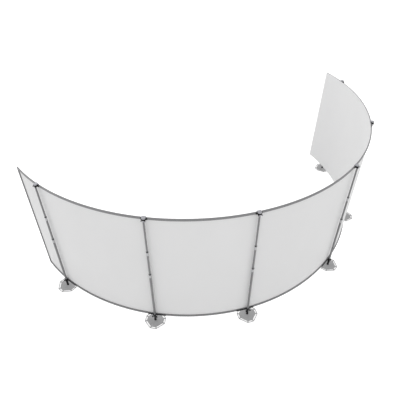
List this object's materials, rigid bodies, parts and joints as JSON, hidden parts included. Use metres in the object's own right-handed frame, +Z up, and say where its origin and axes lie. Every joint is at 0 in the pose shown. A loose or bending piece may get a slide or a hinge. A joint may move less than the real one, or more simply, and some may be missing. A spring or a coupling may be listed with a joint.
{
  "type": "curved display backwall",
  "caption": "Free-standing curved backwall of flexible sheets held by rails on telescopic posts with slotted octagonal floor plates.",
  "frame": {"origin": "middle of the footprint's bounding box, on the floor", "axes": "+X along the wall's widest span, -Y towards the outside of the curve where the posts stand, +Y towards its open side, +Z up"},
  "size_m": [6.3642, 2.8276, 2.1103],
  "materials": {
    "sheet": "matt flexible sheet",
    "rail": "satin anodised",
    "post_tube": "satin anodised",
    "plate": "fine powder coat",
    "black_moulding": "fine textured moulding",
    "clamp_cap": "satin"
  },
  "bodies": {
    "wall_and_bases": {"graphic_sheet_1": "sheet", "top_rail_1": "rail", "bottom_rail_1": "rail", "graphic_sheet_2": "sheet", "top_rail_2": "rail", "bottom_rail_2": "rail", "graphic_sheet_3": "sheet", "top_rail_3": "rail", "bottom_rail_3": "rail", "graphic_sheet_4": "sheet", "top_rail_4": "rail", "bottom_rail_4": "rail", "graphic_sheet_5": "sheet", "top_rail_5": "rail", "bottom_rail_5": "rail", "end_strip_left": "rail", "end_strip_right": "rail", "base_plate_1": "plate", "foot_spigot_1": "black_moulding", "lower_tube_1": "post_tube", "lower_clamp_1": "black_moulding", "upper_clamp_1": "clamp_cap", "base_plate_2": "plate", "foot_spigot_2": "black_moulding", "lower_tube_2": "post_tube", "lower_clamp_2": "black_moulding", "upper_clamp_2": "clamp_cap", "base_plate_3": "plate", "foot_spigot_3": "black_moulding", "lower_tube_3": "post_tube", "lower_clamp_3": "black_moulding", "upper_clamp_3": "clamp_cap", "base_plate_4": "plate", "foot_spigot_4": "black_moulding", "lower_tube_4": "post_tube", "lower_clamp_4": "black_moulding", "upper_clamp_4": "clamp_cap", "base_plate_5": "plate", "foot_spigot_5": "black_moulding", "lower_tube_5": "post_tube", "lower_clamp_5": "black_moulding", "upper_clamp_5": "clamp_cap", "base_plate_6": "plate", "foot_spigot_6": "black_moulding", "lower_tube_6": "post_tube", "lower_clamp_6": "black_moulding", "upper_clamp_6": "clamp_cap"},
    "post_1_middle": {"middle_tube_1": "post_tube"},
    "post_1_upper": {"upper_tube_1": "post_tube"},
    "post_2_middle": {"middle_tube_2": "post_tube"},
    "post_2_upper": {"upper_tube_2": "post_tube"},
    "post_3_middle": {"middle_tube_3": "post_tube"},
    "post_3_upper": {"upper_tube_3": "post_tube"},
    "post_4_middle": {"middle_tube_4": "post_tube"},
    "post_4_upper": {"upper_tube_4": "post_tube"},
    "post_5_middle": {"middle_tube_5": "post_tube"},
    "post_5_upper": {"upper_tube_5": "post_tube"},
    "post_6_middle": {"middle_tube_6": "post_tube"},
    "post_6_upper": {"upper_tube_6": "post_tube"}
  },
  "joints": [
    {"name": "middle_tube_slide_1", "type": "slide", "parent": "wall_and_bases", "child": "post_1_middle", "axis": [0, 0, -1], "range_m": [0, 0.37]},
    {"name": "upper_tube_slide_1", "type": "slide", "parent": "post_1_middle", "child": "post_1_upper", "axis": [0, 0, -1], "range_m": [0, 0.42]},
    {"name": "middle_tube_slide_2", "type": "slide", "parent": "wall_and_bases", "child": "post_2_middle", "axis": [0, 0, -1], "range_m": [0, 0.37]},
    {"name": "upper_tube_slide_2", "type": "slide", "parent": "post_2_middle", "child": "post_2_upper", "axis": [0, 0, -1], "range_m": [0, 0.42]},
    {"name": "middle_tube_slide_3", "type": "slide", "parent": "wall_and_bases", "child": "post_3_middle", "axis": [0, 0, -1], "range_m": [0, 0.37]},
    {"name": "upper_tube_slide_3", "type": "slide", "parent": "post_3_middle", "child": "post_3_upper", "axis": [0, 0, -1], "range_m": [0, 0.42]},
    {"name": "middle_tube_slide_4", "type": "slide", "parent": "wall_and_bases", "child": "post_4_middle", "axis": [0, 0, -1], "range_m": [0, 0.37]},
    {"name": "upper_tube_slide_4", "type": "slide", "parent": "post_4_middle", "child": "post_4_upper", "axis": [0, 0, -1], "range_m": [0, 0.42]},
    {"name": "middle_tube_slide_5", "type": "slide", "parent": "wall_and_bases", "child": "post_5_middle", "axis": [0, 0, -1], "range_m": [0, 0.37]},
    {"name": "upper_tube_slide_5", "type": "slide", "parent": "post_5_middle", "child": "post_5_upper", "axis": [0, 0, -1], "range_m": [0, 0.42]},
    {"name": "middle_tube_slide_6", "type": "slide", "parent": "wall_and_bases", "child": "post_6_middle", "axis": [0, 0, -1], "range_m": [0, 0.37]},
    {"name": "upper_tube_slide_6", "type": "slide", "parent": "post_6_middle", "child": "post_6_upper", "axis": [0, 0, -1], "range_m": [0, 0.42]}
  ]
}
